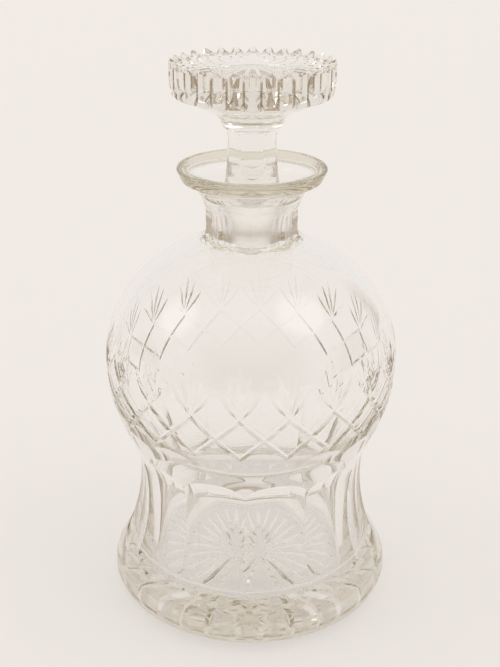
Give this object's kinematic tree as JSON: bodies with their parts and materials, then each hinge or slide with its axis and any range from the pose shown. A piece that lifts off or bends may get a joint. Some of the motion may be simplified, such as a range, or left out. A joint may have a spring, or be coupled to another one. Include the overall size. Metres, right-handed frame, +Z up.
{
  "type": "wine decanter",
  "caption": "Cut-glass decanter with a globe above a fluted waist, a wide solid foot, a flared pouring rim and a ground-in stopper with a toothed disc head.",
  "frame": {"origin": "centre of the foot, on the surface that the decanter stands on", "axes": "+Z up along the axis of the vessel and the stopper; -Y is the front, with a ridge between two flutes on it"},
  "size_m": [0.132, 0.132, 0.25],
  "materials": {
    "clear_glass": "polished clear glass with a faint grey-green tint where it is thick; the stopper's plug and its bore are ground matt"
  },
  "bodies": {
    "vessel": {"decanter": "clear_glass"},
    "stopper": {"stopper": "clear_glass"}
  },
  "joints": [
    {"name": "stopper_lift", "type": "slide", "parent": "vessel", "child": "stopper", "axis": [0, 0, 1], "range_m": [0, 0.06]}
  ]
}
